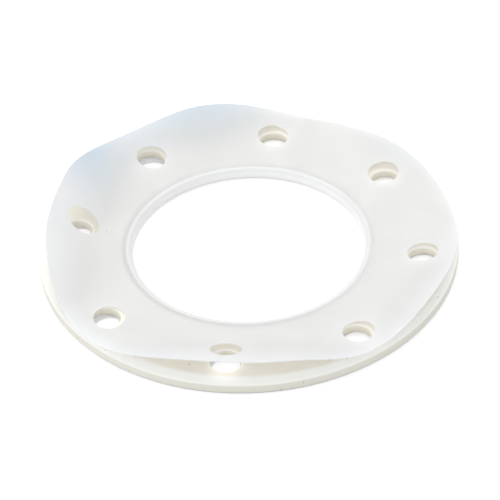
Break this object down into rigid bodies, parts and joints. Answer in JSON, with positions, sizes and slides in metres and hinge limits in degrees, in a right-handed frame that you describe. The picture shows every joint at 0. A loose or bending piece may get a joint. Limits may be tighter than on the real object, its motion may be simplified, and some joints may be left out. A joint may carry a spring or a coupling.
{
  "type": "full face flange gasket",
  "caption": "Full face envelope gasket: thin PTFE sheet folded round the bore of a rubber ring, with a wavy loose upper leaf and bolt holes.",
  "frame": {"origin": "centre of the lower face, on the axis of the bore", "axes": "+Z along the bore axis, up towards the loose upper leaf; the lower face lies on z = 0"},
  "size_m": [0.21, 0.21, 0.029],
  "materials": {
    "ptfe_sheet": "satin, milky, a little light comes through",
    "filler_rubber": "matt off-white with a few dark specks"
  },
  "bodies": {
    "root": {"ptfe_envelope": "ptfe_sheet", "filler_ring": "filler_rubber"}
  },
  "joints": []
}
